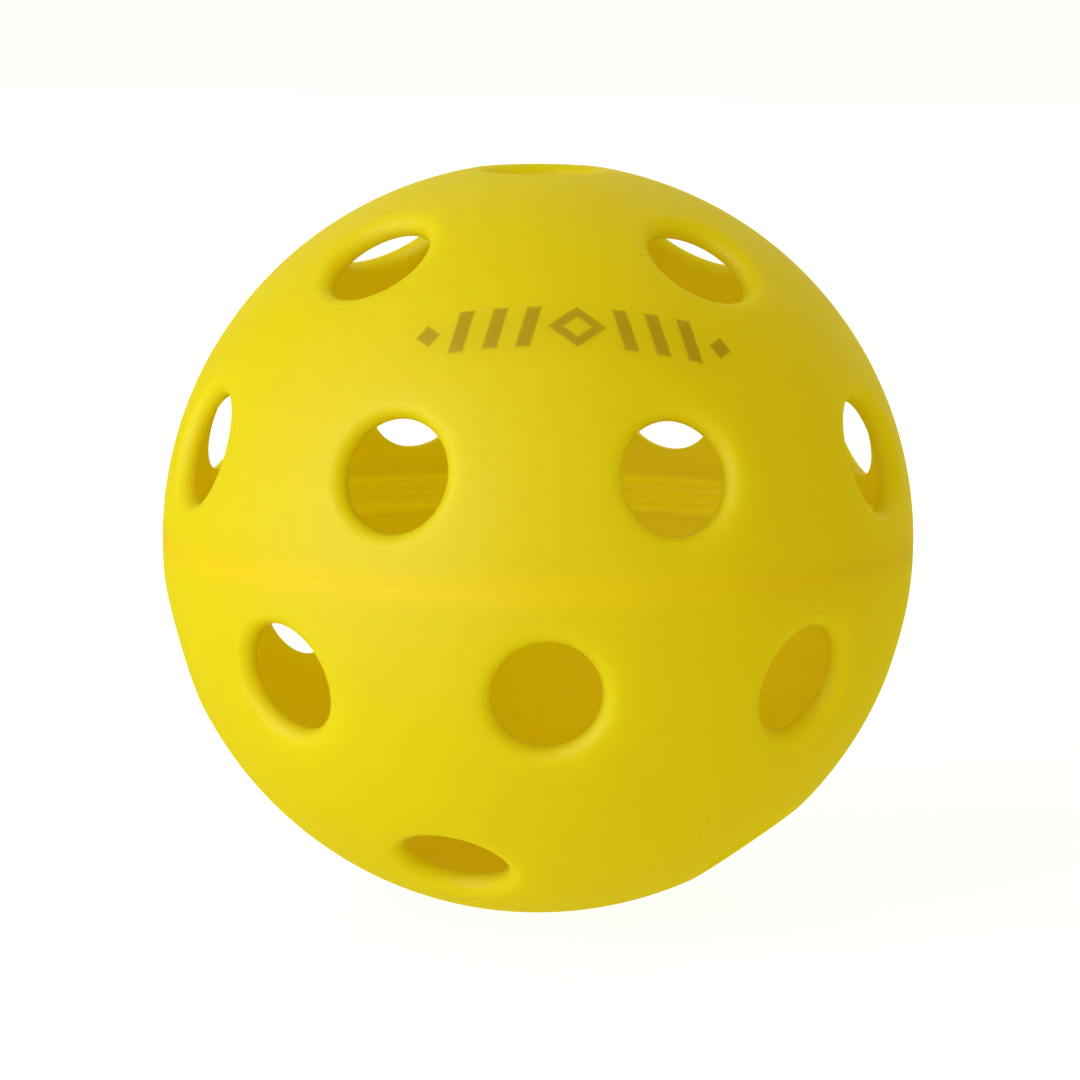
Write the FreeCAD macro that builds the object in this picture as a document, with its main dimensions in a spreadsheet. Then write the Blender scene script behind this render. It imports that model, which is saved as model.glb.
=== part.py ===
import FreeCAD, Part
import os

import Sketcher

# Perforated hollow ball: two identical moulded half shells, butt welded at the equator.
#
# The ball's own frame has its origin at the centre, +Z through the pole hole of the upper half and the
# weld in the XY plane. Lengths are in millimetres and angles in degrees.
#
# Each half is one moulding with 13 holes: one on the pole, a ring of four bored towards the centre and
# a ring of eight bored level with the weld plane. The lower half is the same moulding turned over and
# clocked, so that its holes sit under the gaps of the upper half's. The weld is a ring of fused plastic:
# a thin web between the two rims, trimmed flat outside and left as a double roll inside.

Vector = FreeCAD.Vector
POLAR_AXIS = Vector(0, 0, 1)
TURN_OVER_AXIS = Vector(1, 0, 0)

# Driving dimensions: alias, value, what it is.
SIZES = [
    ("ball_diameter", 74.0, "outside diameter of the ball"),
    ("wall", 2.0, "wall of a half shell"),
    ("hole_diameter", 10.5, "diameter of every hole"),
    ("edge_round", 1.3, "radius of the rounding at each hole's outer edge"),
    ("low_ring_latitude", 15.7, "latitude of the ring of eight holes, degrees"),
    ("high_ring_latitude", 52.8, "latitude of the ring of four holes, degrees"),
    ("low_ring_count", 8, "holes in the low ring"),
    ("high_ring_count", 4, "holes in the high ring"),
    ("upper_clocking", 21.9, "turn of the upper half about the polar axis, degrees"),
    ("lower_clocking", 1.6, "turn of the turned-over lower half about the polar axis, degrees"),
    ("trim_height", 1.9, "height of the flat band left outside where the weld was trimmed"),
    ("web_height", 0.5, "height of the fused web between the two rims"),
    ("web_recess", 0.06, "how far the web stands back from the trimmed band"),
    ("roll_height", 1.35, "how far each inner roll reaches from the weld plane"),
    ("roll_depth", 0.7, "how far each inner roll stands in from the wall"),
    ("notch_depth", 0.25, "how far the notch between the two rolls stands in from the wall"),
]


def make_sheet(doc):
    """The spreadsheet that holds the driving dimensions, one alias each."""
    sheet = doc.addObject("Spreadsheet::Sheet", "Sizes")
    for row, (alias, value, meaning) in enumerate(SIZES, start=1):
        sheet.set(f"A{row}", meaning)
        sheet.set(f"B{row}", str(value))
        sheet.setAlias(f"B{row}", alias)
    doc.recompute()
    return sheet


def origin_feature(body, role):
    """One of a body's own origin planes or axes, by its role."""
    return next(feature for feature in body.Origin.OriginFeatures if feature.Role == role)


def add_sketch(body, name, role):
    """A sketch that lies on one of the body's origin planes."""
    sketch = body.newObject("Sketcher::SketchObject", name)
    sketch.AttachmentSupport = [(origin_feature(body, role), "")]
    sketch.MapMode = "FlatFace"
    return sketch


def turn_sketch(sketch, axis, angle):
    """Turns a sketch on its plane about an axis of its own, by an angle given as an expression."""
    sketch.AttachmentOffset = FreeCAD.Placement(Vector(), FreeCAD.Rotation(axis, 1.0))
    sketch.setExpression(".AttachmentOffset.Rotation.Angle", angle)


def bind(sketch, constraint, expression):
    """Adds a dimension to a sketch and binds it to the sheet."""
    index = sketch.addConstraint(constraint)
    sketch.setExpression(f"Constraints[{index}]", expression)


def join(sketch, *ends):
    """Makes pairs of ends meet, each pair given as geometry, point, geometry, point."""
    for pair in ends:
        sketch.addConstraint(Sketcher.Constraint("Coincident", *pair))


def round_arc(radius, start, end):
    """An arc about the ball's centre, counter-clockwise from start to end."""
    circle = Part.Circle(Vector(), POLAR_AXIS, radius)
    return Part.ArcOfCircle(circle, circle.parameter(start), circle.parameter(end))


def at_height(radius, height):
    """The point of a circle about the ball's centre that lies at a height."""
    return Vector((radius**2 - height**2) ** 0.5, height, 0)


def revolve(doc, body, sketch, name):
    """Turns a half section all the way round the polar axis."""
    feature = body.newObject("PartDesign::Revolution", name)
    feature.Profile = sketch
    feature.ReferenceAxis = (sketch, ["V_Axis"])
    feature.Angle = 360
    doc.recompute()
    return feature


def draw_wall(body, sheet):
    """Half section of a half shell: the wall from the flat rim at the weld up to the pole."""
    outside = sheet.ball_diameter / 2
    inside = outside - sheet.wall
    rim = sheet.web_height / 2
    trim = sheet.trim_height / 2
    trimmed = at_height(outside, trim)
    outer_foot = Vector(trimmed.x, rim, 0)
    inner_foot = at_height(inside, rim)
    outer_top = Vector(0, outside, 0)
    inner_top = Vector(0, inside, 0)

    sketch = add_sketch(body, "WallSection", "XZ_Plane")
    # The revolved faces have their seam where this section lies, so it stands between the holes.
    turn_sketch(sketch, Vector(0, 1, 0), "90 deg - 180 deg / Sizes.low_ring_count")
    outer_arc = sketch.addGeometry(round_arc(outside, trimmed, outer_top))
    inner_arc = sketch.addGeometry(round_arc(inside, inner_foot, inner_top))
    pole_line = sketch.addGeometry(Part.LineSegment(inner_top, outer_top))
    rim_line = sketch.addGeometry(Part.LineSegment(inner_foot, outer_foot))
    trim_line = sketch.addGeometry(Part.LineSegment(outer_foot, trimmed))
    join(
        sketch,
        (outer_arc, 3, -1, 1),
        (inner_arc, 3, -1, 1),
        (inner_arc, 2, pole_line, 1),
        (outer_arc, 2, pole_line, 2),
        (inner_arc, 1, rim_line, 1),
        (rim_line, 2, trim_line, 1),
        (trim_line, 2, outer_arc, 1),
    )
    sketch.addConstraint(Sketcher.Constraint("PointOnObject", pole_line, 1, -2))
    sketch.addConstraint(Sketcher.Constraint("PointOnObject", pole_line, 2, -2))
    sketch.addConstraint(Sketcher.Constraint("Horizontal", rim_line))
    sketch.addConstraint(Sketcher.Constraint("Vertical", trim_line))
    bind(sketch, Sketcher.Constraint("Radius", outer_arc, outside), "Sizes.ball_diameter / 2")
    bind(sketch, Sketcher.Constraint("Radius", inner_arc, inside), "Sizes.ball_diameter / 2 - Sizes.wall")
    bind(sketch, Sketcher.Constraint("DistanceY", -1, 1, rim_line, 1, rim), "Sizes.web_height / 2")
    bind(sketch, Sketcher.Constraint("DistanceY", -1, 1, outer_arc, 1, trim), "Sizes.trim_height / 2")
    return sketch


def draw_hole(body, name, role, height=None):
    """A hole's circle, at the middle of its sketch or at a height given as an expression."""
    guess = 1.0
    sketch = add_sketch(body, name, role)
    circle = sketch.addGeometry(Part.Circle(Vector(0, guess, 0), POLAR_AXIS, guess))
    if height is None:
        join(sketch, (circle, 3, -1, 1))
    else:
        sketch.addConstraint(Sketcher.Constraint("PointOnObject", circle, 3, -2))
        bind(sketch, Sketcher.Constraint("DistanceY", -1, 1, circle, 3, guess), height)
    bind(sketch, Sketcher.Constraint("Diameter", circle, guess), "Sizes.hole_diameter")
    return sketch


def bore(doc, body, sketch, name):
    """Cuts a hole from the ball's middle out through the wall, on the side that its sketch faces."""
    volume = body.Shape.Volume
    pocket = body.newObject("PartDesign::Pocket", name)
    pocket.Profile = sketch
    pocket.Type = "Length"
    pocket.setExpression("Length", "Sizes.ball_diameter")
    pocket.Reversed = True
    doc.recompute()
    if body.Shape.Volume >= volume:
        raise RuntimeError(f"{name} of {body.Label} cuts nothing")
    return pocket


def repeat_round(doc, body, feature, name, count):
    """Repeats a hole evenly round the polar axis."""
    volume = body.Shape.Volume
    ring = body.newObject("PartDesign::PolarPattern", name)
    ring.Originals = [feature]
    ring.Axis = (origin_feature(body, "Z_Axis"), [""])
    ring.Angle = 360
    ring.setExpression("Occurrences", count)
    body.Tip = ring
    doc.recompute()
    if body.Shape.Volume >= volume:
        raise RuntimeError(f"{name} of {body.Label} repeats nothing")


def is_bore(face, sheet):
    """Whether a face is the wall of a hole."""
    near = 0.001
    surface = face.Surface
    return isinstance(surface, Part.Cylinder) and abs(surface.Radius - sheet.hole_diameter / 2) < near


def outer_hole_edges(body, sheet):
    """Names of the edges where the holes break the outer surface."""
    shape = body.Shape
    outside = sheet.ball_diameter / 2
    near = 0.001
    samples = 9
    names = []
    for number, edge in enumerate(shape.Edges, start=1):
        outermost = all(abs(point.Length - outside) < near for point in edge.discretize(samples))
        if outermost and any(is_bore(face, sheet) for face in shape.ancestorsOfType(edge, Part.Face)):
            names.append(f"Edge{number}")
    return names


def round_hole_edges(doc, body, sheet):
    """Rounds the outer edge of every hole, so that the ball has no sharp edge to touch."""
    bores = sum(is_bore(face, sheet) for face in body.Shape.Faces)
    expected = int(sheet.low_ring_count + sheet.high_ring_count + 1)
    if bores != expected:
        raise RuntimeError(f"{body.Label} has {bores} holes and not {expected}")
    drilled = body.Tip
    edges = outer_hole_edges(body, sheet)
    rounding = body.newObject("PartDesign::Fillet", "HoleEdges")
    rounding.Base = (drilled, edges)
    rounding.setExpression("Radius", "Sizes.edge_round")
    body.Tip = rounding
    doc.recompute()


def make_half_shell(doc, sheet, label):
    """One moulded half, pole up, with a hole of its low ring facing -Y."""
    body = doc.addObject("PartDesign::Body", label)
    body.Label = label
    revolve(doc, body, draw_wall(body, sheet), "Wall")

    bore(doc, body, draw_hole(body, "PoleCircle", "XY_Plane"), "PoleHole")

    height = "Sizes.ball_diameter / 2 * sin(Sizes.low_ring_latitude * 1 deg)"
    low_circle = draw_hole(body, "LowCircle", "XZ_Plane", height)
    low_hole = bore(doc, body, low_circle, "LowHole")
    repeat_round(doc, body, low_hole, "LowRing", "Sizes.low_ring_count")

    # The high ring's circle faces away from the centre, over the gap between two holes of the low ring.
    high_circle = draw_hole(body, "HighCircle", "XY_Plane")
    clocking = FreeCAD.Rotation(POLAR_AXIS, 180.0 / sheet.low_ring_count)
    tilt = FreeCAD.Rotation(Vector(1, 0, 0), 90.0 - sheet.high_ring_latitude)
    high_circle.AttachmentOffset = FreeCAD.Placement(Vector(), clocking * tilt)
    high_hole = bore(doc, body, high_circle, "HighHole")
    repeat_round(doc, body, high_hole, "HighRing", "Sizes.high_ring_count")

    round_hole_edges(doc, body, sheet)
    return body


def draw_bead(body, sheet):
    """Section of the weld: a web between the rims, and two rolls inside with a notch between them."""
    outside = sheet.ball_diameter / 2
    inside = outside - sheet.wall
    web = sheet.web_height / 2
    reach = sheet.roll_height
    face = at_height(outside, sheet.trim_height / 2).x - sheet.web_recess
    corner = at_height(inside, web)
    toe = at_height(inside, reach)
    crest = Vector(inside - sheet.roll_depth, reach / 2, 0)
    notch = Vector(inside - sheet.notch_depth, 0, 0)
    low_corner, low_toe, low_crest = (Vector(point.x, -point.y, 0) for point in (corner, toe, crest))

    sketch = add_sketch(body, "BeadSection", "XZ_Plane")
    face_line = sketch.addGeometry(Part.LineSegment(Vector(face, -web, 0), Vector(face, web, 0)))
    top_line = sketch.addGeometry(Part.LineSegment(Vector(face, web, 0), corner))
    low_line = sketch.addGeometry(Part.LineSegment(low_corner, Vector(face, -web, 0)))
    top_seat = sketch.addGeometry(round_arc(inside, corner, toe))
    low_seat = sketch.addGeometry(round_arc(inside, low_toe, low_corner))
    top_roll = sketch.addGeometry(Part.Arc(toe, crest, notch))
    low_roll = sketch.addGeometry(Part.Arc(notch, low_crest, low_toe))
    crest_line = sketch.addGeometry(Part.LineSegment(crest, low_crest), True)
    join(
        sketch,
        (face_line, 2, top_line, 1),
        (top_line, 2, top_seat, 1),
        (top_seat, 2, top_roll, 1),
        (top_roll, 2, low_roll, 1),
        (low_roll, 2, low_seat, 1),
        (low_seat, 2, low_line, 1),
        (low_line, 2, face_line, 1),
        (top_seat, 3, -1, 1),
        (low_seat, 3, -1, 1),
    )
    sketch.addConstraint(Sketcher.Constraint("Symmetric", face_line, 1, face_line, 2, -1))
    sketch.addConstraint(Sketcher.Constraint("Horizontal", top_line))
    sketch.addConstraint(Sketcher.Constraint("Horizontal", low_line))
    sketch.addConstraint(Sketcher.Constraint("Equal", top_seat, low_seat))
    sketch.addConstraint(Sketcher.Constraint("PointOnObject", top_roll, 2, -1))
    sketch.addConstraint(Sketcher.Constraint("Vertical", crest_line))
    sketch.addConstraint(Sketcher.Constraint("Tangent", crest_line, top_roll))
    sketch.addConstraint(Sketcher.Constraint("Tangent", crest_line, low_roll))

    def across(geometry, point, guess, expression):
        bind(sketch, Sketcher.Constraint("DistanceX", -1, 1, geometry, point, guess), expression)

    def above(geometry, point, guess, expression):
        bind(sketch, Sketcher.Constraint("DistanceY", -1, 1, geometry, point, guess), expression)

    def below(geometry, point, guess, expression):
        bind(sketch, Sketcher.Constraint("DistanceY", geometry, point, -1, 1, guess), expression)

    wall_inside = "Sizes.ball_diameter / 2 - Sizes.wall"
    trimmed = "sqrt((Sizes.ball_diameter / 2) ^ 2 - (Sizes.trim_height / 2) ^ 2)"
    bind(sketch, Sketcher.Constraint("Radius", top_seat, inside), wall_inside)
    across(face_line, 1, face, trimmed + " - Sizes.web_recess")
    above(face_line, 2, web, "Sizes.web_height / 2")
    above(top_seat, 2, reach, "Sizes.roll_height")
    below(low_seat, 1, reach, "Sizes.roll_height")
    across(top_roll, 2, notch.x, wall_inside + " - Sizes.notch_depth")
    across(crest_line, 1, crest.x, wall_inside + " - Sizes.roll_depth")
    above(crest_line, 1, reach / 2, "Sizes.roll_height / 2")
    below(crest_line, 2, reach / 2, "Sizes.roll_height / 2")
    return sketch


def make_weld_bead(doc, sheet, label):
    """The ring of fused plastic that joins the two halves."""
    body = doc.addObject("PartDesign::Body", label)
    body.Label = label
    revolve(doc, body, draw_bead(body, sheet), "Bead")
    return body


def check_document(doc, bodies):
    """Stops the build if any object failed or any piece isn't one valid solid."""
    for item in doc.Objects:
        if "Invalid" in item.State or "Error" in item.State:
            raise RuntimeError(f"{item.Name} failed: {item.State}")
    for body in bodies:
        shape = body.Shape
        if shape.isNull() or not shape.isValid() or len(shape.Solids) != 1:
            raise RuntimeError(f"{body.Label} isn't one valid solid")


def main():
    doc = FreeCAD.newDocument("PerforatedBall")
    sheet = make_sheet(doc)
    upper = make_half_shell(doc, sheet, "upper_half_shell")
    lower = make_half_shell(doc, sheet, "lower_half_shell")
    bead = make_weld_bead(doc, sheet, "weld_bead")
    turned_over = FreeCAD.Rotation(TURN_OVER_AXIS, 180)
    upper.Placement = FreeCAD.Placement(Vector(), FreeCAD.Rotation(POLAR_AXIS, sheet.upper_clocking))
    lower.Placement = FreeCAD.Placement(
        Vector(), FreeCAD.Rotation(POLAR_AXIS, sheet.lower_clocking) * turned_over
    )
    doc.recompute()

    bodies = (upper, lower, bead)
    check_document(doc, bodies)
    os.makedirs("parts", exist_ok=True)
    for body in bodies:
        body.Shape.exportStep(f"parts/{body.Label}.step")
        print(f"{body.Label}: {body.Shape.Volume:.0f} mm3, {len(body.Shape.Faces)} faces")


main()
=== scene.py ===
"""A perforated indoor playing ball: two moulded half shells, the weld between them and a printed mark.

Lengths are in metres in Blender and in millimetres in the size fields, turned into metres by MM.
The ball's centre is the origin, +Z runs through the pole hole of the upper half, and the weld lies in
the XY plane. A longitude is counted from -Y towards +X, and a latitude from the weld towards +Z.
"""

import logging
import math
from collections.abc import Callable
from dataclasses import dataclass, field
from enum import Enum

import bmesh
import bpy
from mathutils import Matrix, Vector, noise


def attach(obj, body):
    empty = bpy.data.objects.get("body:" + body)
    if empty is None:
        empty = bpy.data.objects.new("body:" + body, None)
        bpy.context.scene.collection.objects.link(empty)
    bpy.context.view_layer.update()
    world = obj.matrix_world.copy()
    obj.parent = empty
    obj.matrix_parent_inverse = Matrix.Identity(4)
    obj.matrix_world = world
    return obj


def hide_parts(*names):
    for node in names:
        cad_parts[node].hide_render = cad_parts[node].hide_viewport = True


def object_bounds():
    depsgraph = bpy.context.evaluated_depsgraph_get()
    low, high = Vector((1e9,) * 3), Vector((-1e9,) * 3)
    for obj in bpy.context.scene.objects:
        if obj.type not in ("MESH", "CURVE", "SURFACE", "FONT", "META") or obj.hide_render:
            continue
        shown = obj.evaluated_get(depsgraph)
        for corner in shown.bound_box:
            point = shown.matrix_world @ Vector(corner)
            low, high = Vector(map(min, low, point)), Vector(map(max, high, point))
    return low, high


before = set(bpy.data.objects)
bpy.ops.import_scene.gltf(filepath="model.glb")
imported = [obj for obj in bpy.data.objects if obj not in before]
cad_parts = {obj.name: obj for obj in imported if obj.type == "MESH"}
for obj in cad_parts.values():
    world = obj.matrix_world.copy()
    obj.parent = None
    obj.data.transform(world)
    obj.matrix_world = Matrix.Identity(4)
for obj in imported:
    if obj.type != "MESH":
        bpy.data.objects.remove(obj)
CAD_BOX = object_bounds()

MM = 0.001
FULL_TURN = 2.0 * math.pi
SMOOTH_ANGLE = math.radians(40.0)

log = logging.getLogger("ball")


# ---------------------------------------------------------------- bench work


def put_everything_down() -> None:
    """Leaves no mode open and nothing selected, so that an operator acts only on what comes next."""
    if bpy.context.object is not None and bpy.context.object.mode != "OBJECT":
        bpy.ops.object.mode_set(mode="OBJECT")
    bpy.ops.object.select_all(action="DESELECT")


def pick_up(piece: bpy.types.Object) -> None:
    """Makes a piece the only one selected, and the active one.

    Args:
        piece: The object to work on.
    """
    put_everything_down()
    bpy.context.view_layer.objects.active = piece
    piece.select_set(True)


def open_mesh(piece: bpy.types.Object, select_mode: str = "VERT") -> bmesh.types.BMesh:
    """Opens a piece for editing with nothing in it selected.

    Args:
        piece: The object to open.
        select_mode: VERT, EDGE or FACE.

    Returns:
        The mesh as it is being edited.
    """
    pick_up(piece)
    bpy.ops.object.mode_set(mode="EDIT")
    bpy.ops.mesh.select_mode(type=select_mode)
    bpy.ops.mesh.select_all(action="DESELECT")
    return bmesh.from_edit_mesh(piece.data)


def close_mesh() -> None:
    """Ends editing and goes back to whole objects."""
    bpy.ops.object.mode_set(mode="OBJECT")


def select_edges(piece: bpy.types.Object, wanted: Callable[[bmesh.types.BMEdge], bool]) -> None:
    """Selects the edges that a test picks, and no others.

    Args:
        piece: The object that is being edited.
        wanted: The test.
    """
    bpy.ops.mesh.select_all(action="DESELECT")
    mesh = bmesh.from_edit_mesh(piece.data)
    for edge in mesh.edges:
        if wanted(edge):
            edge.select = True
    mesh.select_flush_mode()
    bmesh.update_edit_mesh(piece.data)


def move_selected(piece: bpy.types.Object, place: Callable[[bmesh.types.BMVert], Vector]) -> None:
    """Puts each selected corner where a rule says.

    Args:
        piece: The object that is being edited.
        place: Gives a corner's new position.
    """
    mesh = bmesh.from_edit_mesh(piece.data)
    for vert in mesh.verts:
        if vert.select:
            vert.co = place(vert)
    bmesh.update_edit_mesh(piece.data)


def extrude_edges(piece: bpy.types.Object, place: Callable[[bmesh.types.BMVert], Vector]) -> None:
    """Extrudes the selected edges and puts the new corners where a rule says. They stay selected.

    Args:
        piece: The object that is being edited.
        place: Gives a new corner's position.
    """
    bpy.ops.mesh.extrude_region()
    move_selected(piece, place)


def make_solid_mesh_sound(piece: bpy.types.Object, gap: float) -> None:
    """Joins corners that coincide, and turns every face outwards.

    Args:
        piece: The object to finish.
        gap: Corners closer than this, in metres, are one.
    """
    open_mesh(piece)
    bpy.ops.mesh.select_all(action="SELECT")
    bpy.ops.mesh.remove_doubles(threshold=gap)
    bpy.ops.mesh.normals_make_consistent(inside=False)
    close_mesh()


def direction(latitude: float, longitude: float) -> Vector:
    """The outward direction at a place on the ball.

    Args:
        latitude: Degrees above the weld.
        longitude: Degrees from -Y towards +X.

    Returns:
        A unit vector.
    """
    lat = math.radians(latitude)
    lon = math.radians(longitude)
    return Vector((math.cos(lat) * math.sin(lon), -math.cos(lat) * math.cos(lon), math.sin(lat)))


# ------------------------------------------------------------------ finishes


class NodeBoard:
    """A material's nodes, laid out from left to right as they are added."""

    CORNER = (-1400, 300)
    SPACING = (190, 320)
    COLUMNS = 12
    SHADER_PLACE = (900, 0)
    OUTPUT_PLACE = (1200, 0)
    MIX_COLOURS_IN = (6, 7)
    MIX_COLOUR_OUT = 2

    def __init__(self, name: str) -> None:
        """Starts a material with its own shader and output.

        Args:
            name: The material's name.
        """
        self.material = bpy.data.materials.new(name)
        self.material.use_nodes = True
        self.tree = self.material.node_tree
        self.tree.nodes.clear()
        self.column = 0
        self.output = self.tree.nodes.new("ShaderNodeOutputMaterial")
        self.output.location = self.OUTPUT_PLACE

    def add(self, kind: str, **settings: object) -> bpy.types.Node:
        """Adds a node.

        Args:
            kind: The node's type name.
            **settings: Properties to set on it.

        Returns:
            The new node.
        """
        node = self.tree.nodes.new(kind)
        row, column = divmod(self.column, self.COLUMNS)
        left, top = self.CORNER
        node.location = (left + self.SPACING[0] * column, top - self.SPACING[1] * row)
        self.column += 1
        for name, value in settings.items():
            setattr(node, name, value)
        return node

    def shader(self) -> bpy.types.Node:
        """The surface shader, joined to the output.

        Returns:
            The shader's node.
        """
        shader = self.add("ShaderNodeBsdfPrincipled")
        shader.location = self.SHADER_PLACE
        self.join(shader.outputs["BSDF"], self.output.inputs["Surface"])
        return shader

    def join(self, source: bpy.types.NodeSocket, target: bpy.types.NodeSocket) -> None:
        """Links two sockets.

        Args:
            source: The output to take from.
            target: The input to feed.
        """
        self.tree.links.new(source, target)

    def object_place(self) -> bpy.types.NodeSocket:
        """The place on the piece, in metres from the ball's centre.

        Returns:
            A vector output.
        """
        return self.add("ShaderNodeTexCoord").outputs["Object"]

    def noise(self, place: bpy.types.NodeSocket, scale: float, detail: float) -> bpy.types.NodeSocket:
        """A cloudy pattern.

        Args:
            place: Where on the piece.
            scale: Lumps per metre.
            detail: Octaves of finer lumps.

        Returns:
            The pattern's value, about 0.5 on average.
        """
        node = self.add("ShaderNodeTexNoise")
        node.inputs["Scale"].default_value = scale
        node.inputs["Detail"].default_value = detail
        self.join(place, node.inputs["Vector"])
        return node.outputs["Fac"]

    def spread(
        self, value: bpy.types.NodeSocket, bounds: tuple[float, float, float, float]
    ) -> bpy.types.NodeSocket:
        """Stretches a value from one range to another.

        Args:
            value: What to stretch.
            bounds: Lowest and highest value in, lowest and highest value out.

        Returns:
            The stretched value, kept within its range.
        """
        node = self.add("ShaderNodeMapRange")
        for socket, bound in zip(("From Min", "From Max", "To Min", "To Max"), bounds):
            node.inputs[socket].default_value = bound
        self.join(value, node.inputs["Value"])
        return node.outputs["Result"]

    def mix(
        self,
        share: bpy.types.NodeSocket,
        first: tuple[float, float, float] | bpy.types.NodeSocket,
        second: tuple[float, float, float] | bpy.types.NodeSocket,
    ) -> bpy.types.NodeSocket:
        """Mixes two colours.

        Args:
            share: How much of the second colour.
            first: A colour, or a socket that gives one.
            second: A colour, or a socket that gives one.

        Returns:
            The mixed colour.
        """
        node = self.add("ShaderNodeMix", data_type="RGBA")
        self.join(share, node.inputs["Factor"])
        for number, colour in zip(self.MIX_COLOURS_IN, (first, second)):
            socket = node.inputs[number]
            if isinstance(colour, bpy.types.NodeSocket):
                self.join(colour, socket)
            else:
                socket.default_value = (*colour, 1.0)
        return node.outputs[self.MIX_COLOUR_OUT]


@dataclass(frozen=True)
class SatinPolyethylene:
    """Moulded polyethylene: satin, a little see-through, with faint flow clouds and a few dark specks, and
    painted light on the rolls inside the weld.

    A scale counts lumps per metre, and a detail counts octaves of finer lumps.
    """

    name: str
    colour: tuple[float, float, float] = (0.925, 0.69, 0.003)
    cloud_colour: tuple[float, float, float] = (0.91, 0.665, 0.002)
    # Painted light: the rolls inside the weld get this lighter colour for the light that comes through the
    # weld.
    painted_roll_colour: tuple[float, float, float] = (0.98, 0.84, 0.004)
    speck_colour: tuple[float, float, float] = (0.35, 0.25, 0.01)
    roughness: tuple[float, float] = (0.50, 0.60)
    specular: float = 0.5
    cloud_scale: float = 45.0
    cloud_detail: float = 3.0
    cloud_range: tuple[float, float] = (0.35, 0.65)
    patch_scale: float = 130.0
    patch_detail: float = 4.0
    patch_range: tuple[float, float] = (0.3, 0.7)
    glow: float = 1.0
    glow_reach: tuple[float, float, float] = (1.0, 0.84, 0.03)
    glow_scale: float = 9.3 * MM
    weld_reach: float = 2.4 * MM
    weld_glow: float = 0.11
    # Painted light: the rolls inside glow this much for the same light through the weld; the next two sizes
    # say where.
    painted_roll_glow: float = 0.15
    painted_roll_reach: tuple[float, float] = (1.2 * MM, 2.2 * MM)
    painted_roll_skin: tuple[float, float] = (0.6 * MM, 1.2 * MM)
    grain_scale: float = 2600.0
    grain_detail: float = 2.0
    grain_height: float = 0.012 * MM
    specks: tuple[tuple[float, float], ...] = ()
    speck_radius: float = 0.12 * MM
    surface_radius: float = 37.0 * MM

    def make(self) -> bpy.types.Material:
        """Builds the finish.

        Returns:
            The material.
        """
        board = NodeBoard(self.name)
        shader = board.shader()
        shader.inputs["Specular IOR Level"].default_value = self.specular
        shader.inputs["Subsurface Radius"].default_value = self.glow_reach
        shader.inputs["Subsurface Scale"].default_value = self.glow_scale

        place = board.object_place()
        height = self.height_from_weld(board, place)
        glow = board.spread(height, (0.0, self.weld_reach, self.weld_glow, self.glow))
        board.join(glow, shader.inputs["Subsurface Weight"])
        cloudy = board.noise(place, self.cloud_scale, self.cloud_detail)
        clouds = board.spread(cloudy, (*self.cloud_range, 0.0, 1.0))
        colour = board.mix(clouds, self.colour, self.cloud_colour)
        for latitude, longitude in self.specks:
            colour = board.mix(self.speck(board, place, latitude, longitude), colour, self.speck_colour)
        # Painted light: the rolls inside get a lighter colour and a faint glow for the light that comes
        # through the weld.
        melt = self.painted_roll_light(board, place, height)
        colour = board.mix(melt, colour, self.painted_roll_colour)
        shader.inputs["Emission Color"].default_value = (*self.painted_roll_colour, 1.0)
        through = board.spread(melt, (0.0, 1.0, 0.0, self.painted_roll_glow))
        board.join(through, shader.inputs["Emission Strength"])
        board.join(colour, shader.inputs["Base Color"])

        patchy = board.noise(place, self.patch_scale, self.patch_detail)
        board.join(board.spread(patchy, (*self.patch_range, *self.roughness)), shader.inputs["Roughness"])

        bump = board.add("ShaderNodeBump")
        bump.inputs["Strength"].default_value = 1.0
        bump.inputs["Distance"].default_value = self.grain_height
        board.join(board.noise(place, self.grain_scale, self.grain_detail), bump.inputs["Height"])
        board.join(bump.outputs["Normal"], shader.inputs["Normal"])
        return board.material

    def height_from_weld(self, board: NodeBoard, place: bpy.types.NodeSocket) -> bpy.types.NodeSocket:
        """How far a place is above or below the weld.

        Light can't be followed from one half into the other, so the glow has to fade out there, or the
        weld would show as a dark line. The light that comes through the weld is painted onto the rolls
        inside, as a lighter colour and a faint glow.

        Args:
            board: The material's nodes.
            place: Where on the piece.

        Returns:
            The height in metres.
        """
        axes = board.add("ShaderNodeSeparateXYZ")
        board.join(place, axes.inputs["Vector"])
        height = board.add("ShaderNodeMath", operation="ABSOLUTE")
        board.join(axes.outputs["Z"], height.inputs[0])
        return height.outputs["Value"]

    def painted_roll_light(
        self, board: NodeBoard, place: bpy.types.NodeSocket, height: bpy.types.NodeSocket
    ) -> bpy.types.NodeSocket:
        """How much a place belongs to the rolls inside at the weld, where the light that comes through the
        weld is painted on.

        Args:
            board: The material's nodes.
            place: Where on the piece.
            height: How far the place is from the weld.

        Returns:
            1 on the rolls inside, 0 elsewhere.
        """
        near = board.spread(height, (*self.painted_roll_reach, 1.0, 0.0))
        radius = board.add("ShaderNodeVectorMath", operation="LENGTH")
        board.join(place, radius.inputs[0])
        shallow, deep = (self.surface_radius - depth for depth in self.painted_roll_skin)
        inward = board.spread(radius.outputs["Value"], (deep, shallow, 1.0, 0.0))
        both = board.add("ShaderNodeMath", operation="MULTIPLY")
        board.join(near, both.inputs[0])
        board.join(inward, both.inputs[1])
        return both.outputs["Value"]

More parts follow.
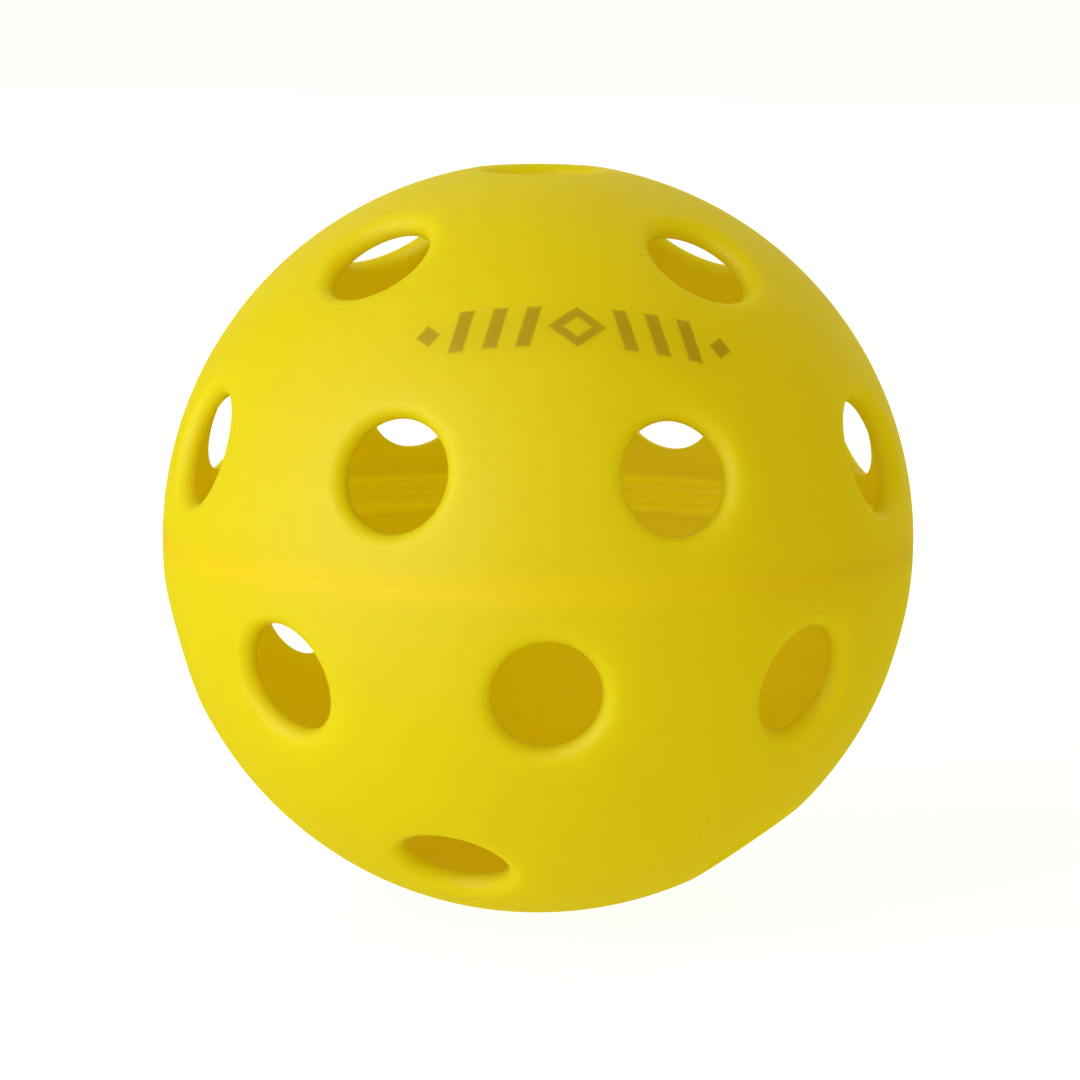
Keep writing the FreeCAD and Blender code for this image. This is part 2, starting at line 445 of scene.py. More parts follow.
    def speck(
        self, board: NodeBoard, place: bpy.types.NodeSocket, latitude: float, longitude: float
    ) -> bpy.types.NodeSocket:
        """How much a dark speck shows at a place.

        Args:
            board: The material's nodes.
            place: Where on the piece.
            latitude: The speck's latitude in degrees.
            longitude: The speck's longitude in degrees.

        Returns:
            1 in the speck, falling to 0 at its edge.
        """
        away = board.add("ShaderNodeVectorMath", operation="DISTANCE")
        board.join(place, away.inputs[0])
        away.inputs[1].default_value = direction(latitude, longitude) * self.surface_radius
        return board.spread(away.outputs["Value"], (0.5 * self.speck_radius, self.speck_radius, 1.0, 0.0))


@dataclass(frozen=True)
class PadInk:
    """A thin coat of olive ink that lets some of the plastic show through, softer at its edges."""

    name: str = "pad_ink"
    colour: tuple[float, float, float] = (0.27, 0.18, 0.02)
    cover: float = 0.5
    roughness: float = 0.5
    patch_scale: float = 900.0
    patch_detail: float = 3.0
    patch_range: tuple[float, float] = (0.3, 0.7)
    paler: float = 1.25
    surface_share: float = 0.5
    edge_attribute: str = "ink"

    def make(self) -> bpy.types.Material:
        """Builds the finish.

        Returns:
            The material.
        """
        board = NodeBoard(self.name)
        shader = board.shader()
        shader.inputs["Roughness"].default_value = self.roughness
        place = board.object_place()
        patchy = board.noise(place, self.patch_scale, self.patch_detail)
        patches = board.spread(patchy, (*self.patch_range, 0.0, 1.0))
        lighter = tuple(self.paler * part for part in self.colour)
        board.join(board.mix(patches, self.colour, lighter), shader.inputs["Base Color"])
        coat = board.add("ShaderNodeAttribute", attribute_name=self.edge_attribute)
        thinning = board.spread(coat.outputs["Fac"], (self.surface_share, 1.0, 0.0, self.cover))
        board.join(thinning, shader.inputs["Alpha"])
        return board.material


@dataclass(frozen=True)
class PaleSweep:
    """The plain white paper that the ball stands on."""

    name: str = "pale_sweep"
    colour: tuple[float, float, float] = (0.25, 0.25, 0.25)
    roughness: float = 0.9
    lift: float = 0.92

    def make(self) -> bpy.types.Material:
        """Builds the finish.

        Returns:
            The material.
        """
        board = NodeBoard(self.name)
        shader = board.shader()
        shader.inputs["Base Color"].default_value = (*self.colour, 1.0)
        shader.inputs["Roughness"].default_value = self.roughness
        shader.inputs["Emission Color"].default_value = (1.0, 1.0, 1.0, 1.0)
        shader.inputs["Emission Strength"].default_value = self.lift
        return board.material


# ---------------------------------------------------------------- half shell


def arc_through(first: Vector, second: Vector, third: Vector, steps: int) -> list[Vector]:
    """Points of the arc from one point through another to a third.

    Args:
        first: Where the arc starts.
        second: A point on its way.
        third: Where it ends.
        steps: How many stretches to divide it into.

    Returns:
        The points, both ends included.
    """
    a, b = second - first, third - first
    turn = 2.0 * (a.x * b.y - a.y * b.x)
    centre = first + Vector(
        (
            (b.y * a.length_squared - a.y * b.length_squared) / turn,
            (a.x * b.length_squared - b.x * a.length_squared) / turn,
        )
    )
    radius = (first - centre).length
    start, middle, end = (math.atan2(p.y - centre.y, p.x - centre.x) for p in (first, second, third))
    sweep = (end - start) % FULL_TURN
    if (middle - start) % FULL_TURN > sweep:
        sweep -= FULL_TURN
    angles = [start + sweep * step / steps for step in range(steps + 1)]
    return [centre + radius * Vector((math.cos(angle), math.sin(angle))) for angle in angles]


@dataclass(frozen=True)
class Hole:
    """A round hole, bored along its axis from the middle of the ball outwards."""

    start: Vector
    axis: Vector
    radius: float

    def across(self) -> tuple[Vector, Vector]:
        """Two unit vectors square to the axis and to each other.

        Returns:
            The two vectors.
        """
        reference = Vector((0.0, 0.0, 1.0)) if abs(self.axis.z) < 0.99 else Vector((0.0, 1.0, 0.0))
        first = reference.cross(self.axis).normalized()
        return first, self.axis.cross(first)

    def reach(self, point: Vector) -> float:
        """How far a point lies from the axis, or a huge number behind its start.

        Args:
            point: Any point.

        Returns:
            The distance in metres.
        """
        offset = point - self.start
        along = offset.dot(self.axis)
        return (offset - along * self.axis).length if along > 0.0 else math.inf

    def turn(self, point: Vector) -> float:
        """The angle of a point about the axis.

        Args:
            point: Any point.

        Returns:
            Radians from -pi to pi.
        """
        first, second = self.across()
        offset = point - self.start
        return math.atan2(offset.dot(second), offset.dot(first))

    def on_sphere(self, turn: float, reach: float, sphere: float) -> Vector:
        """The point of a sphere at a given angle about the axis and distance from it.

        Args:
            turn: The angle in radians.
            reach: The distance in metres.
            sphere: The radius of the sphere about the ball's centre.

        Returns:
            The point on the outward side.
        """
        first, second = self.across()
        foot = self.start + reach * (math.cos(turn) * first + math.sin(turn) * second)
        half = foot.dot(self.axis)
        return foot + (math.sqrt(half**2 - foot.length_squared + sphere**2) - half) * self.axis

    def on_rounding(self, turn: float, share: float, edge_round: float, sphere: float) -> Vector:
        """A point of the rounding between a surface of the wall and the hole's own wall.

        Args:
            turn: The angle about the axis in radians.
            share: 0 at the wall's surface, 1 at the hole's wall.
            edge_round: The rounding's radius, which is below zero for the inner surface.
            sphere: The radius of the wall's surface.

        Returns:
            The point.
        """
        centre = self.on_sphere(turn, self.radius + abs(edge_round), sphere - edge_round)
        facing = math.copysign(1.0, edge_round) * centre.normalized()
        first, second = self.across()
        inward = -(math.cos(turn) * first + math.sin(turn) * second)
        return centre + abs(edge_round) * facing.slerp(inward, share)


class Half(Enum):
    """Which half of the ball a shell is."""

    UPPER = "upper"
    LOWER = "lower"


@dataclass
class HalfShell:
    """One moulded half of the ball, modelled pole up and then put in its place.

    The swell and the waves come from noise, whose scales count lumps per metre.
    """

    half: Half
    clocking: float
    outside: float = 37.0 * MM
    wall: float = 2.0 * MM
    hole_radius: float = 5.25 * MM
    edge_round: float = 1.3 * MM
    inner_round: float = 0.2 * MM
    low_latitude: float = 15.7
    high_latitude: float = 52.8
    low_count: int = 8
    high_count: int = 4
    trim_height: float = 1.9 * MM
    weld_recess: float = 0.015 * MM
    weld_lip: float = 0.12 * MM
    roll_height: float = 1.35 * MM
    roll_depth: float = 0.65 * MM
    notch_depth: float = 0.4 * MM
    roll_steps: int = 12
    roll_swell: float = 0.07 * MM
    swell_scales: tuple[float, float] = (150.0, 420.0)
    meridians: int = 256
    parallels: int = 128
    round_steps: int = 8
    inner_steps: int = 3
    margin: float = 0.35 * MM
    evening_rounds: int = 16
    merge_gap: float = 0.0005 * MM
    unevenness: float = 0.02 * MM
    wave_scale: float = 55.0
    piece: bpy.types.Object | None = field(default=None, init=False)

    @property
    def inside(self) -> float:
        """Radius of the inner surface.

        Returns:
            The radius in metres.
        """
        return self.outside - self.wall

    @property
    def middle(self) -> float:
        """Radius that divides the outer surface's corners from the inner surface's.

        Returns:
            The radius in metres.
        """
        return self.outside - 0.5 * self.wall

    @property
    def trimmed_radius(self) -> float:
        """Radius of the band where the weld was trimmed flat.

        Returns:
            The radius in metres.
        """
        return math.sqrt(self.outside**2 - (0.5 * self.trim_height) ** 2)

    def holes(self) -> list[Hole]:
        """The 13 holes: the pole, the low ring bored level, and the high ring bored radially.

        Returns:
            The holes, in a fixed order.
        """
        centre = Vector((0.0, 0.0, 0.0))
        found = [Hole(centre, Vector((0.0, 0.0, 1.0)), self.hole_radius)]
        level = Vector((0.0, 0.0, self.outside * math.sin(math.radians(self.low_latitude))))
        step = 360.0 / self.low_count
        for number in range(self.low_count):
            found.append(Hole(level, direction(0.0, number * step), self.hole_radius))
        for number in range(self.high_count):
            longitude = 0.5 * step + number * 360.0 / self.high_count
            found.append(Hole(centre, direction(self.high_latitude, longitude), self.hole_radius))
        return found

    def build(self, finish: bpy.types.Material) -> bpy.types.Object:
        """Models the half.

        Args:
            finish: The plastic.

        Returns:
            The finished piece, in its place on the ball.
        """
        holes = self.holes()
        self.raise_dome()
        self.open_holes(holes)
        self.mark_hole_edges(holes)
        self.add_inner_surface()
        self.line_holes(holes)
        self.form_weld()
        make_solid_mesh_sound(self.piece, self.merge_gap)
        self.swell_roll()
        self.add_unevenness()
        self.put_in_place()
        self.piece.data.materials.append(finish)
        pick_up(self.piece)
        bpy.ops.object.shade_smooth_by_angle(angle=SMOOTH_ANGLE)
        return self.piece

    def raise_dome(self) -> None:
        """Makes the outer surface, cut off where the trimmed band at the weld starts."""
        put_everything_down()
        bpy.ops.mesh.primitive_uv_sphere_add(
            segments=self.meridians, ring_count=self.parallels, radius=self.outside
        )
        self.piece = bpy.context.object
        self.piece.name = f"{self.half.value}_half_shell_moulded"
        self.piece.data.name = self.piece.name
        open_mesh(self.piece)
        bpy.ops.mesh.select_all(action="SELECT")
        bpy.ops.mesh.bisect(
            plane_co=(0.0, 0.0, 0.5 * self.trim_height), plane_no=(0.0, 0.0, 1.0), clear_inner=True
        )
        bpy.ops.mesh.select_all(action="SELECT")
        move_selected(self.piece, lambda vert: vert.co.normalized() * self.outside)
        close_mesh()

    def open_holes(self, holes: list[Hole]) -> None:
        """Takes away the faces that lie where the holes and their roundings go.

        Args:
            holes: The holes.
        """
        mesh = open_mesh(self.piece, "FACE")

        def in_way(point: Vector) -> bool:
            """Whether a corner of the surface lies within a hole's rounding.

            Args:
                point: A corner's place.

            Returns:
                True where the surface has to go.
            """
            for hole in holes:
                if hole.reach(point) < self.hole_radius + 3.0 * self.edge_round:
                    lip = hole.on_rounding(hole.turn(point), 0.0, self.edge_round, self.outside)
                    if hole.reach(point) < hole.reach(lip) + self.margin:
                        return True
            return False

        inner = {vert for vert in mesh.verts if in_way(vert.co)}
        for face in mesh.faces:
            if any(vert in inner for vert in face.verts):
                face.select = True
        bmesh.update_edit_mesh(self.piece.data)
        bpy.ops.mesh.delete(type="FACE")
        close_mesh()

    def mark_hole_edges(self, holes: list[Hole]) -> None:
        """Notes on each corner beside a hole which hole it is, and its angle about the hole's axis.

        Args:
            holes: The holes.
        """
        mesh = open_mesh(self.piece)
        owner = mesh.verts.layers.int.new("hole")
        angle = mesh.verts.layers.float.new("turn")
        rim_level = 0.75 * self.trim_height
        done = set()
        for start in mesh.verts:
            if start in done or not start.is_boundary or start.co.z < rim_level:
                continue
            loop = self.walk(start)
            done.update(loop)
            number = min(range(len(holes)), key=lambda index: holes[index].reach(loop[0].co))
            for vert, turn in zip(loop, self.even_turns(holes[number], loop)):
                vert[owner] = number + 1
                vert[angle] = turn
        bmesh.update_edit_mesh(self.piece.data)
        close_mesh()

    def walk(self, start: bmesh.types.BMVert) -> list[bmesh.types.BMVert]:
        """Follows an open edge all the way round.

        Args:
            start: A corner on the edge.

        Returns:
            The corners in order.
        """
        loop = [start]
        while True:
            beside = [
                edge.other_vert(loop[-1])
                for edge in loop[-1].link_edges
                if edge.is_boundary
            ]
            fresh = [vert for vert in beside if vert is not start and vert not in loop[-2:]]
            if not fresh:
                return loop
            loop.append(fresh[0])

    def even_turns(self, hole: Hole, loop: list[bmesh.types.BMVert]) -> list[float]:
        """Angles for the corners of an open edge, evened out so that they never fall back.

        Args:
            hole: The hole that the edge surrounds.
            loop: The edge's corners in order.

        Returns:
            One angle for each corner, in radians.
        """
        raw = [hole.turn(vert.co) for vert in loop]
        turns = [raw[0]]
        for value in raw[1:]:
            turns.append(turns[-1] + (value - turns[-1] + math.pi) % FULL_TURN - math.pi)
        whole = math.copysign(FULL_TURN, turns[-1] - turns[0])
        for _ in range(self.evening_rounds):
            before = [turns[-1] - whole] + turns[:-1]
            after = turns[1:] + [turns[0] + whole]
            turns = [(a + 2.0 * b + c) / 4.0 for a, b, c in zip(before, turns, after)]
        return turns

    def add_inner_surface(self) -> None:
        """Copies the outer surface inwards by the wall's thickness, down to where the weld's roll starts."""
        open_mesh(self.piece)
        bpy.ops.mesh.select_all(action="SELECT")
        bpy.ops.mesh.duplicate()
        shrink = self.inside / self.outside
        bpy.ops.transform.resize(value=(shrink, shrink, shrink), center_override=(0.0, 0.0, 0.0))
        bpy.ops.mesh.flip_normals()
        bpy.ops.mesh.bisect(
            plane_co=(0.0, 0.0, self.roll_height), plane_no=(0.0, 0.0, 1.0), clear_inner=True
        )
        close_mesh()

    def line_holes(self, holes: list[Hole]) -> None:
        """Builds the rounding, the wall and the inner edge of every hole.

        Args:
            holes: The holes.
        """
        mesh = open_mesh(self.piece, "EDGE")
        owner = mesh.verts.layers.int["hole"]

        def hole_edge(edge: bmesh.types.BMEdge, outer: bool) -> bool:
            """Whether an edge is an open one at a hole, on the outer or the inner surface.

            Args:
                edge: The edge.
                outer: Which surface is meant.

            Returns:
                True for such an edge.
            """
            sides = [vert.co.length > self.middle for vert in edge.verts]
            return edge.is_boundary and edge.verts[0][owner] > 0 and all(side == outer for side in sides)

        def ring(place: Callable[[Hole, float], Vector]) -> Callable[[bmesh.types.BMVert], Vector]:
            """A rule that puts a corner at its own angle on one ring of its own hole.

            Args:
                place: Gives the place for a hole and an angle.

            Returns:
                The rule.
            """

            def rule(vert: bmesh.types.BMVert) -> Vector:
                """The corner's place.

                Args:
                    vert: The corner.

                Returns:
                    Its new place.
                """
                data = bmesh.from_edit_mesh(self.piece.data).verts.layers
                return place(holes[vert[data.int["hole"]] - 1], vert[data.float["turn"]])

            return rule

        def outer_round(share: float) -> Callable[[bmesh.types.BMVert], Vector]:
            """A ring of the outer rounding, from the surface at 0 to the hole's wall at 1.

            Args:
                share: How far round the ring is.

            Returns:
                The ring's rule.
            """
            return ring(lambda hole, turn: hole.on_rounding(turn, share, self.edge_round, self.outside))

        def inner_round(share: float) -> Callable[[bmesh.types.BMVert], Vector]:
            """A ring of the inner rounding, from the surface at 0 to the hole's wall at 1.

            Args:
                share: How far round the ring is.

            Returns:
                The ring's rule.
            """
            return ring(lambda hole, turn: hole.on_rounding(turn, share, -self.inner_round, self.inside))

        select_edges(self.piece, lambda edge: hole_edge(edge, False))
        for step in range(self.inner_steps + 1):
            extrude_edges(self.piece, inner_round(step / self.inner_steps))
        select_edges(self.piece, lambda edge: hole_edge(edge, True))
        for step in range(self.round_steps + 1):
            extrude_edges(self.piece, outer_round(step / self.round_steps))
        extrude_edges(self.piece, inner_round(1.0))
        close_mesh()

    def form_weld(self) -> None:
        """Builds the trimmed band outside, this half's roll of squeezed melt inside, and the fused face."""
        open_mesh(self.piece, "EDGE")

        def at(radius: float, height: float) -> Callable[[bmesh.types.BMVert], Vector]:
            """A rule that puts a corner at a radius and a height, keeping its longitude.

            Args:
                radius: In metres.
                height: In metres.

            Returns:
                The rule.
            """

            def rule(vert: bmesh.types.BMVert) -> Vector:
                """The corner's place.

                Args:
                    vert: The corner.

                Returns:
                    Its new place.
                """
                level = Vector((vert.co.x, vert.co.y, 0.0)).normalized() * radius
                return level + Vector((0.0, 0.0, height))

            return rule

        def weld_edge(edge: bmesh.types.BMEdge, outer: bool) -> bool:
            """Whether an edge is an open one at the weld, on the outer or the inner surface.

            Args:
                edge: The edge.
                outer: Which surface is meant.

            Returns:
                True for such an edge.
            """
            low = all(vert.co.z < self.trim_height for vert in edge.verts)
            return edge.is_boundary and low and (edge.verts[0].co.length > self.middle) == outer

        select_edges(self.piece, lambda edge: weld_edge(edge, True))
        extrude_edges(self.piece, at(self.trimmed_radius, self.weld_lip))
        extrude_edges(self.piece, at(self.trimmed_radius - self.weld_recess, 0.0))

        select_edges(self.piece, lambda edge: weld_edge(edge, False))
        toe = Vector((math.sqrt(self.inside**2 - self.roll_height**2), self.roll_height))
        crest = Vector((self.inside - self.roll_depth, 0.5 * self.roll_height))
        notch = Vector((self.inside - self.notch_depth, 0.0))
        roll = arc_through(toe, crest, notch, self.roll_steps)
        move_selected(self.piece, at(*roll[0]))
        for point in roll[1:]:
            extrude_edges(self.piece, at(*point))
        extrude_edges(self.piece, at(self.trimmed_radius - self.weld_recess, 0.0))
        close_mesh()

    def swell_roll(self) -> None:
        """Makes the roll swell and thin a little along its length, as squeezed-out melt does."""
        open_mesh(self.piece)
        bpy.ops.mesh.select_all(action="SELECT")
        wide, fine = self.swell_scales
        seed = Vector((0.0, 0.0, 4.0 if self.half is Half.UPPER else 9.0))

        def squeezed(vert: bmesh.types.BMVert) -> Vector:
            """The corner's place, unmoved where the halves meet.

            Args:
                vert: The corner.

            Returns:
                Its new place.
            """
            level = Vector((vert.co.x, vert.co.y, 0.0))
            sphere = math.sqrt(max(0.0, self.inside**2 - vert.co.z**2))
            proud = (sphere - level.length - self.notch_depth) / (self.roll_depth - self.notch_depth)
            if vert.co.z > self.roll_height or proud <= 0.0 or vert.co.z < 0.01 * MM:
                return vert.co
            around = level.normalized() * self.inside
            lump = noise.noise(around * wide + seed) + 0.5 * noise.noise(around * fine + seed)
            return vert.co - level.normalized() * min(1.0, proud) * lump * self.roll_swell

        move_selected(self.piece, squeezed)
        close_mesh()

    def add_unevenness(self) -> None:
        """Gives the wall the slight waves that a moulding has when it has shrunk."""
        open_mesh(self.piece)
        bpy.ops.mesh.select_all(action="SELECT")
        seed = Vector((3.1, 7.7, 1.9)) if self.half is Half.UPPER else Vector((11.3, 2.5, 8.2))

        def shrunk(vert: bmesh.types.BMVert) -> Vector:
            """The corner's place after shrinking, unmoved at the weld.

            Args:
                vert: The corner.

            Returns:
                Its new place.
            """
            fade = min(1.0, max(0.0, (vert.co.z - self.trim_height) / (3.0 * self.trim_height)))
            lump = noise.noise(vert.co * self.wave_scale + seed)
            return vert.co * (1.0 + fade * lump * self.unevenness / self.outside)

        move_selected(self.piece, shrunk)
        close_mesh()

    def put_in_place(self) -> None:
        """Turns the half over if it is the lower one, and clocks it about the polar axis."""
        pick_up(self.piece)
        for name in ("hole", "turn"):
            self.piece.data.attributes.remove(self.piece.data.attributes[name])
        over = math.pi if self.half is Half.LOWER else 0.0
        self.piece.rotation_euler = (over, 0.0, math.radians(self.clocking))
        bpy.ops.object.transform_apply(location=True, rotation=True, scale=True)


# -------------------------------------------------------------- printed mark


class Stroke(Enum):
    """The plain shapes that the printed mark is made of."""

    BAR = "bar"
    LOZENGE = "lozenge"
    DIAMOND = "diamond"


@dataclass
class PrintedMark:
    """A plain row of shapes, pad printed on the upper half: bars that lean in towards a hollow lozenge."""

    ball_radius: float = 37.0 * MM
    latitude: float = 40.4
    longitude: float = 7.2
    tilt: float = -3.2
    height: float = 5.1 * MM
    stroke: float = 2.05 * MM
    pitch: float = 3.1 * MM
    bars_each_side: int = 3
    lean: float = 1.4 * MM
    lozenge: tuple[float, float] = (3.3 * MM, 2.7 * MM)
    lozenge_stroke: float = 1.5375 * MM
    diamond: tuple[float, float] = (1.5 * MM, 1.7 * MM)
    gap: float = 0.25 * MM
    feather: float = 0.45 * MM
    coat: float = 0.06 * MM
    proud: float = 0.03 * MM
    cuts: int = 2

    def build(self, finish: bpy.types.Material) -> bpy.types.Object:
        """Models the mark flat, lays it on the ball and gives it its thickness.

        Args:
            finish: The ink.

        Returns:
            The finished piece.
        """
        shapes = [self.cut_shape(Stroke.LOZENGE, 0.0, 0.0)]
        for side in (-1.0, 1.0):
            first = self.lozenge[0] + self.gap + 0.5 * self.stroke
            for number in range(self.bars_each_side):
                middle = side * (first + number * self.pitch)
                shapes.append(self.cut_shape(Stroke.BAR, middle, -side * self.lean))
            end = side * (first + (self.bars_each_side - 0.5) * self.pitch + self.diamond[0])
            shapes.append(self.cut_shape(Stroke.DIAMOND, end, 0.0))
        put_everything_down()
        for shape in shapes:
            shape.select_set(True)
        bpy.context.view_layer.objects.active = shapes[0]
        bpy.ops.object.join()
        piece = bpy.context.object
        piece.name = "printed_mark"
        piece.data.name = piece.name
        self.feather_edges(piece)
        self.lay_on_ball(piece)
        self.give_thickness(piece)
        piece.data.materials.append(finish)
        pick_up(piece)
        bpy.ops.object.shade_smooth_by_angle(angle=SMOOTH_ANGLE)
        return piece

    def cut_shape(self, stroke: Stroke, middle: float, lean: float) -> bpy.types.Object:
        """Makes one flat shape of the row.

        Args:
            stroke: Which shape.
            middle: Its distance to the right of the row's middle.
            lean: How far its top leans to the right.

        Returns:
            The flat shape, in the XY plane.
        """
        put_everything_down()
        bpy.ops.mesh.primitive_plane_add(size=1.0, location=(middle, 0.0, 0.0))
        shape = bpy.context.object
        open_mesh(shape, "FACE")
        bpy.ops.mesh.select_all(action="SELECT")

        def as_bar(vert: bmesh.types.BMVert) -> Vector:
            """A corner of an upright bar that leans.

            Args:
                vert: The corner.

            Returns:
                Its new place.
            """
            return Vector((vert.co.x * self.stroke + vert.co.y * lean, vert.co.y * self.height, 0.0))

        def on_point(wide: float, tall: float) -> Callable[[bmesh.types.BMVert], Vector]:
            """A rule that stands a square on its corner, with the given half width and height.

            Args:
                wide: Half the width.
                tall: Half the height.

            Returns:
                The rule.
            """
            return lambda vert: Vector(
                (wide * (vert.co.x + vert.co.y), tall * (vert.co.y - vert.co.x), 0.0)
            )

        if stroke is Stroke.BAR:
            move_selected(shape, as_bar)
        elif stroke is Stroke.DIAMOND:
            move_selected(shape, on_point(*self.diamond))
        else:
            move_selected(shape, on_point(*self.lozenge))
            bpy.ops.mesh.inset(thickness=self.lozenge_stroke)
            bpy.ops.mesh.delete(type="FACE")
            bpy.ops.mesh.select_all(action="SELECT")
        bpy.ops.mesh.subdivide(number_cuts=self.cuts)
        close_mesh()
        pick_up(shape)
        bpy.ops.object.transform_apply(location=True, rotation=True, scale=True)
        return shape

    def feather_edges(self, piece: bpy.types.Object) -> None:
        """Adds a narrow border round each shape, where the ink thins out.

        Args:
            piece: The flat mark.
        """
        open_mesh(piece, "FACE")
        bpy.ops.mesh.select_all(action="SELECT")
        bpy.ops.mesh.inset(thickness=self.feather, use_boundary=True)
        mesh = bmesh.from_edit_mesh(piece.data)
        coat = mesh.verts.layers.float.new("ink")
        for vert in mesh.verts:
            vert[coat] = 0.0 if vert.is_boundary else 1.0
        bmesh.update_edit_mesh(piece.data)
        close_mesh()

    def lay_on_ball(self, piece: bpy.types.Object) -> None:
        """Presses the flat mark onto the ball, straight down along the mark's own outward direction.

        Args:
            piece: The flat mark.
        """
        outward = direction(self.latitude, self.longitude)
        east = direction(0.0, self.longitude + 90.0)
        north = outward.cross(east)
        turn = Matrix.Rotation(math.radians(self.tilt), 3, outward)
        right, up = turn @ east, turn @ north
        open_mesh(piece)
        bpy.ops.mesh.select_all(action="SELECT")

        def pressed(vert: bmesh.types.BMVert) -> Vector:
            """The corner's place: proud of the ball where the ink is full, sunk in it where it ends.

            Args:
                vert: The corner.

            Returns:
                Its new place.
            """
            ink = vert[bmesh.from_edit_mesh(piece.data).verts.layers.float["ink"]]
            surface = self.ball_radius + self.proud * (2.0 * ink - 1.0)
            flat = vert.co.x * right + vert.co.y * up
            return flat + math.sqrt(surface**2 - flat.length_squared) * outward

        move_selected(piece, pressed)
        bpy.ops.mesh.normals_make_consistent(inside=False)
        close_mesh()

    def give_thickness(self, piece: bpy.types.Object) -> None:
        """Turns the laid mark into a closed coat.

        Args:
            piece: The laid mark.
        """
        pick_up(piece)
        coat = piece.modifiers.new("coat", "SOLIDIFY")
        coat.thickness = self.coat
        coat.offset = -1.0
        bpy.ops.object.modifier_apply(modifier=coat.name)


# --------------------------------------------------------------------- stage


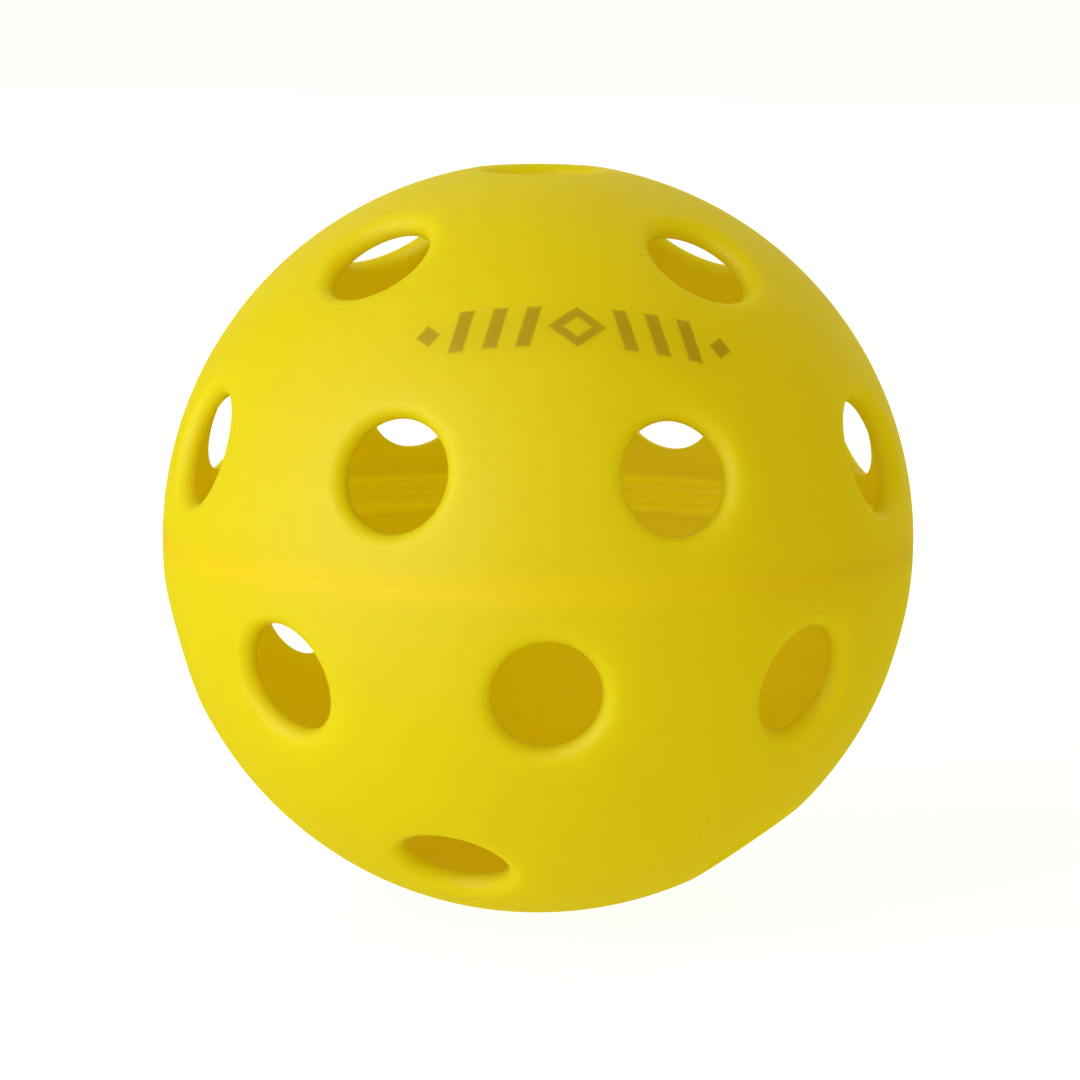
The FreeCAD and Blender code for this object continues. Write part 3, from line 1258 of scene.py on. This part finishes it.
@dataclass
class Studio:
    """The camera, the soft lights and the plain pale floor."""

    ball_radius: float = 37.0 * MM
    distance: float = 16.62
    elevation: float = 8.12
    roll: float = 0.47
    lens: float = 207.6
    sensor: float = 36.0
    sight: tuple[float, float] = (0.05, 50.0)
    shift: tuple[float, float] = (0.0018, -0.0026)
    floor_radius: float = 1.5
    floor_sides: int = 96
    sweep_radius: float = 1.2
    sweep_steps: int = 16
    room_light: tuple[float, float] = (0.78, 0.46)
    room_colour: tuple[float, float, float] = (1.0, 0.90, 0.12)
    key_power: float = 8.1
    key_place: tuple[float, float] = (14.0, -52.0)
    back_power: float = 1.5
    back_place: tuple[float, float] = (24.0, 172.0)
    lamp_size: float = 1.4
    lamp_distance: float = 1.0

    def build(self) -> None:
        """Sets up the whole stage."""
        self.place_camera()
        self.lay_floor()
        self.light()

    def place_camera(self) -> None:
        """Points the camera at the ball's centre, turned a little about its own line of sight."""
        data = bpy.data.cameras.new("camera")
        data.sensor_width = self.sensor
        data.lens = self.lens
        data.shift_x, data.shift_y = self.shift
        data.clip_start, data.clip_end = self.sight
        camera = bpy.data.objects.new("camera", data)
        bpy.context.scene.collection.objects.link(camera)
        away = direction(self.elevation, 0.0) * self.distance * self.ball_radius
        pitch = Matrix.Rotation(math.radians(90.0 - self.elevation), 4, "X")
        turn = Matrix.Rotation(math.radians(self.roll), 4, "Z")
        camera.matrix_world = Matrix.Translation(away) @ pitch @ turn
        bpy.context.scene.camera = camera

    def lay_floor(self) -> None:
        """Lays a round sheet under the ball's lowest point, swept up all round.

        The room's even light stands in for what the paper would throw back, so the ball doesn't see it.
        """
        put_everything_down()
        level = CAD_BOX[0][2]
        bpy.ops.mesh.primitive_circle_add(
            vertices=self.floor_sides,
            radius=self.floor_radius,
            fill_type="NGON",
            location=(0.0, 0.0, level),
        )
        floor = bpy.context.object
        floor.name = "floor"
        bpy.ops.object.transform_apply(location=True, rotation=True, scale=True)
        open_mesh(floor, "EDGE")
        select_edges(floor, lambda edge: edge.is_boundary)
        for step in range(1, self.sweep_steps + 1):
            turn = 0.5 * math.pi * step / self.sweep_steps
            reach = self.floor_radius + self.sweep_radius * math.sin(turn)
            height = level + self.sweep_radius * (1.0 - math.cos(turn))

            def swept(vert: bmesh.types.BMVert) -> Vector:
                """The corner's place on the sweep.

                Args:
                    vert: The corner.

                Returns:
                    Its new place.
                """
                return Vector((vert.co.x, vert.co.y, 0.0)).normalized() * reach + Vector((0.0, 0.0, height))

            extrude_edges(floor, swept)
        close_mesh()
        pick_up(floor)
        bpy.ops.object.shade_smooth_by_angle(angle=SMOOTH_ANGLE)
        floor.data.materials.append(PaleSweep().make())
        floor.visible_diffuse = False
        floor.visible_glossy = False
        floor.visible_shadow = False

    def light(self) -> None:
        """Hangs a large soft light up to the left and a weak one behind, in an evenly white room."""
        world = bpy.data.worlds.new("white_room")
        world.use_nodes = True
        sky = world.node_tree.nodes["Background"]
        sky.inputs["Color"].default_value = (*self.room_colour, 1.0)
        place = world.node_tree.nodes.new("ShaderNodeTexCoord")
        axes = world.node_tree.nodes.new("ShaderNodeSeparateXYZ")
        rise = world.node_tree.nodes.new("ShaderNodeMapRange")
        rise.inputs["From Min"].default_value = -1.0
        rise.inputs["To Min"].default_value, rise.inputs["To Max"].default_value = self.room_light
        world.node_tree.links.new(place.outputs["Generated"], axes.inputs["Vector"])
        world.node_tree.links.new(axes.outputs["Z"], rise.inputs["Value"])
        world.node_tree.links.new(rise.outputs["Result"], sky.inputs["Strength"])
        bpy.context.scene.world = world
        self.hang_lamp("key", self.key_power, self.key_place)
        self.hang_lamp("back", self.back_power, self.back_place)
        bpy.context.scene.view_settings.view_transform = "Standard"

    def hang_lamp(self, name: str, power: float, place: tuple[float, float]) -> None:
        """Hangs a large soft lamp that faces the ball.

        Args:
            name: The lamp's name.
            power: Watts.
            place: The latitude and longitude that it hangs at.
        """
        data = bpy.data.lights.new(name, "AREA")
        data.energy = power
        data.shape = "DISK"
        data.size = self.lamp_size
        lamp = bpy.data.objects.new(name, data)
        lamp.visible_camera = False
        bpy.context.scene.collection.objects.link(lamp)
        towards = direction(*place)
        facing = towards.to_track_quat("Z", "Y").to_matrix().to_4x4()
        lamp.matrix_world = Matrix.Translation(towards * self.lamp_distance) @ facing


# ---------------------------------------------------------------------- main


SPECKS = ((-40.0, 35.5), (-44.5, 36.7), (-49.8, 42.7), (54.0, 26.3))


def report(piece: bpy.types.Object) -> None:
    """Logs a finished piece's size.

    Args:
        piece: The piece.
    """
    log.info("%s: %d corners, %d faces", piece.name, len(piece.data.vertices), len(piece.data.polygons))


def main() -> None:
    """Builds the ball piece by piece, then its stage."""
    logging.basicConfig(level=logging.INFO, format="%(name)s: %(message)s")
    plastic = SatinPolyethylene("shell_plastic", specks=SPECKS).make()
    fused = SatinPolyethylene("weld_plastic", roughness=(0.44, 0.56)).make()
    for name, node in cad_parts.items():
        node.data.materials.clear()
        node.data.materials.append(fused if name == "weld_bead" else plastic)

    halves = (HalfShell(Half.UPPER, clocking=21.9), HalfShell(Half.LOWER, clocking=1.6))
    for shell in halves:
        piece = shell.build(plastic)
        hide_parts(f"{shell.half.value}_half_shell", "weld_bead")
        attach(piece, "root")
        report(piece)

    mark = PrintedMark().build(PadInk().make())
    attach(mark, "root")
    report(mark)

    Studio().build()


if __name__ == "__main__":
    main()
